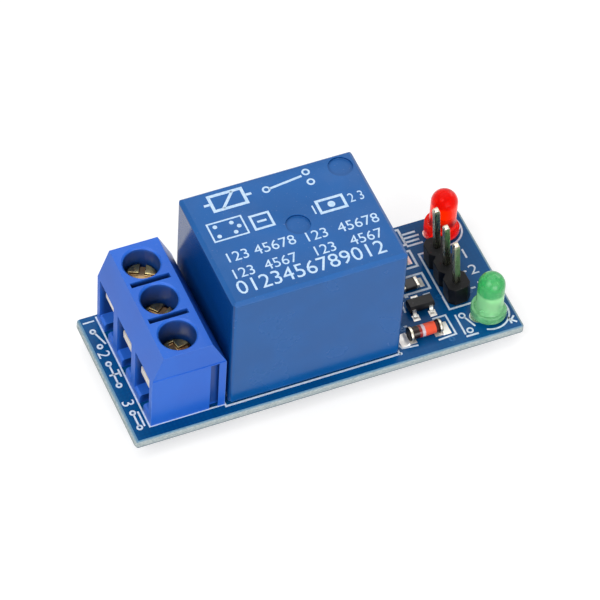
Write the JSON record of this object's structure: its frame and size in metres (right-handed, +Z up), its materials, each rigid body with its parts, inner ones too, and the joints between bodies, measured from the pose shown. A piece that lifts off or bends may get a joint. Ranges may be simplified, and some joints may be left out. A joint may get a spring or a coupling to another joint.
{
  "type": "relay module",
  "caption": "Small circuit board that carries a boxed relay, a screw wire terminal, a pin header and indicator lamps, so that a low-power signal switches a load.",
  "frame": {"origin": "middle of the board in X and Y, on the plane of the trimmed lead tips that the board stands on", "axes": "+X along the long edge from the wire terminals to the header end, +Y across the board towards the red lamp, +Z up from the board"},
  "size_m": [0.0438, 0.0172, 0.0189],
  "materials": {
    "board_mask": "blue solder mask over glass-epoxy laminate",
    "solder": "bright solder",
    "terminal_blue": "moulded blue plastic with a soft sheen",
    "tinned_brass": "tinned brass strip",
    "clamp_tin": "tinned clamp plate",
    "screw_zinc": "yellow zinc on steel",
    "relay_blue": "moulded blue case, fine satin",
    "base_blue": "moulded blue base",
    "bobbin_white": "natural moulded bobbin",
    "enamelled_copper": "enamelled copper winding",
    "magnet_iron": "plated soft iron",
    "spring_copper": "copper alloy strip with contact buttons",
    "lead_tin": "tinned lead",
    "header_black": "black moulded carrier",
    "pin_tin": "tinned square pin",
    "lens_green": "green tinted epoxy lens",
    "lens_red": "red tinted epoxy lens",
    "package_black": "black moulded package",
    "diode_glass": "orange glass tube",
    "cap_silver": "plated end cap",
    "chip_dark": "glazed resistor chip"
  },
  "bodies": {
    "board_assembly": {"circuit_board": "board_mask", "pin_solder": "solder", "top_solder": "solder", "terminal_housing": "terminal_blue", "terminal_contacts": "tinned_brass", "relay_cover": "relay_blue", "relay_base": "base_blue", "relay_bobbin": "bobbin_white", "relay_winding": "enamelled_copper", "relay_core": "magnet_iron", "relay_yoke": "magnet_iron", "relay_open_contact": "spring_copper", "relay_closed_contact": "spring_copper", "relay_coil_leads": "lead_tin", "header_carrier": "header_black", "header_pins": "pin_tin", "green_lamp_lens": "lens_green", "green_lamp_leads": "lead_tin", "red_lamp_lens": "lens_red", "red_lamp_leads": "lead_tin", "transistor_body": "package_black", "transistor_leads": "lead_tin", "diode_glass": "diode_glass", "diode_caps": "cap_silver", "diode_chip": "chip_dark", "resistor_chips": "chip_dark", "resistor_caps": "cap_silver"},
    "armature": {"relay_armature": "magnet_iron", "relay_contact_spring": "spring_copper"},
    "clamp_1": {"clamp_plate_1": "clamp_tin"},
    "clamp_2": {"clamp_plate_2": "clamp_tin"},
    "clamp_3": {"clamp_plate_3": "clamp_tin"},
    "screw_1": {"clamp_screw_1": "screw_zinc"},
    "screw_2": {"clamp_screw_2": "screw_zinc"},
    "screw_3": {"clamp_screw_3": "screw_zinc"}
  },
  "joints": [
    {"name": "armature_swing", "type": "hinge", "parent": "board_assembly", "child": "armature", "pos_m": [0.00646, 0.0002, 0.01405], "axis": [0, -1, 0], "range_deg": [0, 4.4], "stiffness_Nm_per_rad": 0.0008, "springref_deg": -8.59},
    {"name": "clamp_1_travel", "type": "slide", "parent": "board_assembly", "child": "clamp_1", "axis": [0, 0, 1], "range_m": [-0.0017, 0.0004]},
    {"name": "screw_1_turn", "type": "hinge", "parent": "clamp_1", "child": "screw_1", "pos_m": [-0.0159, 0.00545, 0.009], "axis": [0, 0, 1], "range_deg": [-1224.01, 288.01]},
    {"name": "clamp_2_travel", "type": "slide", "parent": "board_assembly", "child": "clamp_2", "axis": [0, 0, 1], "range_m": [-0.001, 0.0011]},
    {"name": "screw_2_turn", "type": "hinge", "parent": "clamp_2", "child": "screw_2", "pos_m": [-0.0159, 0.00045, 0.009], "axis": [0, 0, 1], "range_deg": [-720.01, 792.01]},
    {"name": "clamp_3_travel", "type": "slide", "parent": "board_assembly", "child": "clamp_3", "axis": [0, 0, 1], "range_m": [-0.001, 0.0011]},
    {"name": "screw_3_turn", "type": "hinge", "parent": "clamp_3", "child": "screw_3", "pos_m": [-0.0159, -0.00455, 0.009], "axis": [0, 0, 1], "range_deg": [-720.01, 792.01]}
  ],
  "couplings": [
    {"joint": "screw_1_turn", "follows": "clamp_1_travel", "rad_per_m": 12566},
    {"joint": "screw_2_turn", "follows": "clamp_2_travel", "rad_per_m": 12566},
    {"joint": "screw_3_turn", "follows": "clamp_3_travel", "rad_per_m": 12566}
  ]
}
